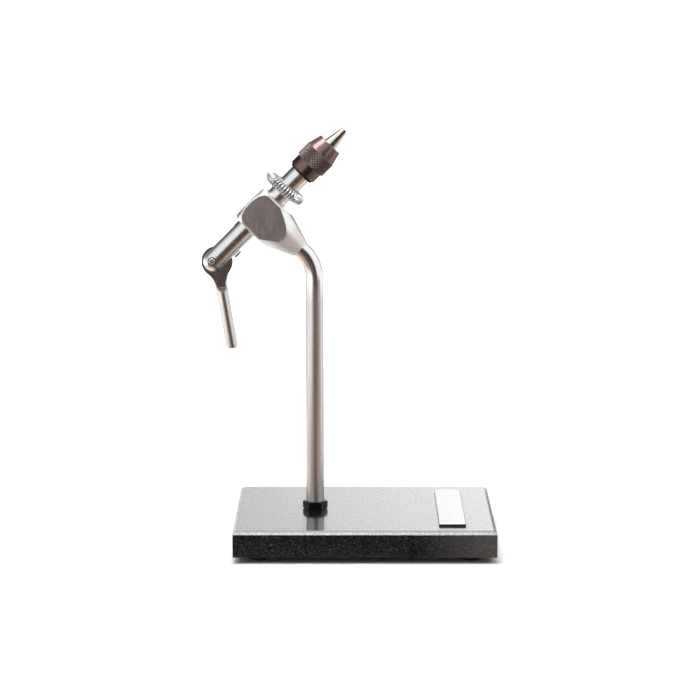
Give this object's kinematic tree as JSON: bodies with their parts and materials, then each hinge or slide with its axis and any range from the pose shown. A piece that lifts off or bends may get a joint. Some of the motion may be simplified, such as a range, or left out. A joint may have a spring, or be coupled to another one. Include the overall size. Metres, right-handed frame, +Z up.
{
  "type": "fly tying vise",
  "caption": "Pedestal vise that holds a fish hook in cam-closed cone jaws on a rotating inclined barrel, on a bent stem and a flat base.",
  "frame": {"origin": "on the table, at the centre of the base plate's footprint", "axes": "+Z up, +X along the base from the stem side to the name plate side, towards which the jaws point, +Y to the far long side"},
  "size_m": [0.1576, 0.1016, 0.226],
  "materials": {
    "base_coat": "black wrinkle powder coat",
    "foot_rubber": "matt black rubber",
    "plate_metal": "fine brushed",
    "black_oxide": "black oxide, oiled",
    "stem_stainless": "drawn and lightly brushed",
    "block_aluminium": "milled flats, turned neck",
    "bush_bronze": "sintered",
    "nylon": "plain",
    "barrel_steel": "polished",
    "pin_steel": "ground",
    "lever_steel": "turned, flats milled",
    "inner_steel": "turned",
    "jaw_steel": "hardened and polished",
    "spring_wire": "bright wire",
    "sleeve_bronze": "bronze, knurled grip",
    "ring_rubber": "rubber ring"
  },
  "bodies": {
    "stand": {"base_plate": "base_coat", "foot_front_left": "foot_rubber", "foot_front_right": "foot_rubber", "foot_rear_left": "foot_rubber", "foot_rear_right": "foot_rubber", "name_plate": "plate_metal", "stem_nut": "black_oxide", "stem": "stem_stainless", "head_block": "block_aluminium", "rear_bush": "bush_bronze", "front_bush": "bush_bronze", "drag_tip": "nylon", "drag_screw": "black_oxide", "stem_screw": "black_oxide"},
    "rotary_head": {"barrel": "barrel_steel", "lever_pin": "pin_steel", "material_spring": "spring_wire", "return_spring": "spring_wire"},
    "lever": {"cam_lever": "lever_steel"},
    "jaw_slide": {"cam_follower": "inner_steel", "push_rod": "inner_steel", "jaw_carrier": "inner_steel", "hinge_pin_near": "pin_steel", "hinge_pin_far": "pin_steel", "jaw_spreader_spring": "spring_wire"},
    "near_jaw": {"jaw_near": "jaw_steel"},
    "far_jaw": {"jaw_far": "jaw_steel"},
    "sleeve_thread": {"sleeve_ring": "ring_rubber"},
    "sleeve": {"collet_sleeve": "sleeve_bronze"}
  },
  "joints": [
    {"name": "head_rotation", "type": "hinge", "parent": "stand", "child": "rotary_head", "pos_m": [-0.0559, 0, 0.1794], "axis": [0.7071, 0, 0.7071], "continuous": true},
    {"name": "cam_lever_swing", "type": "hinge", "parent": "rotary_head", "child": "lever", "pos_m": [-0.08178, 0, 0.15465], "axis": [0, 1, 0], "range_deg": [0, 90]},
    {"name": "jaw_push", "type": "slide", "parent": "rotary_head", "child": "jaw_slide", "axis": [0.7071, 0, 0.7071], "range_m": [-0.00362, 0]},
    {"name": "near_jaw_opening", "type": "hinge", "parent": "jaw_slide", "child": "near_jaw", "pos_m": [-0.03737, -0.00142, 0.19793], "axis": [0.7071, 0, -0.7071], "range_deg": [0, 1.2]},
    {"name": "far_jaw_opening", "type": "hinge", "parent": "jaw_slide", "child": "far_jaw", "pos_m": [-0.03737, 0.00142, 0.19793], "axis": [-0.7071, 0, 0.7071], "range_deg": [0, 1.2]},
    {"name": "sleeve_advance", "type": "slide", "parent": "rotary_head", "child": "sleeve_thread", "axis": [0.7071, 0, 0.7071], "range_m": [0, 0.002]},
    {"name": "sleeve_turn", "type": "hinge", "parent": "sleeve_thread", "child": "sleeve", "pos_m": [-0.0559, 0, 0.1794], "axis": [0.7071, 0, 0.7071], "range_deg": [0, 720.4]}
  ],
  "couplings": [
    {"joint": "jaw_push", "follows": "cam_lever_swing", "m_per_rad": -0.0023045},
    {"joint": "near_jaw_opening", "follows": "cam_lever_swing", "ratio": 0.013333},
    {"joint": "far_jaw_opening", "follows": "cam_lever_swing", "ratio": 0.013333},
    {"joint": "sleeve_turn", "follows": "sleeve_advance", "rad_per_m": 6283.2}
  ]
}
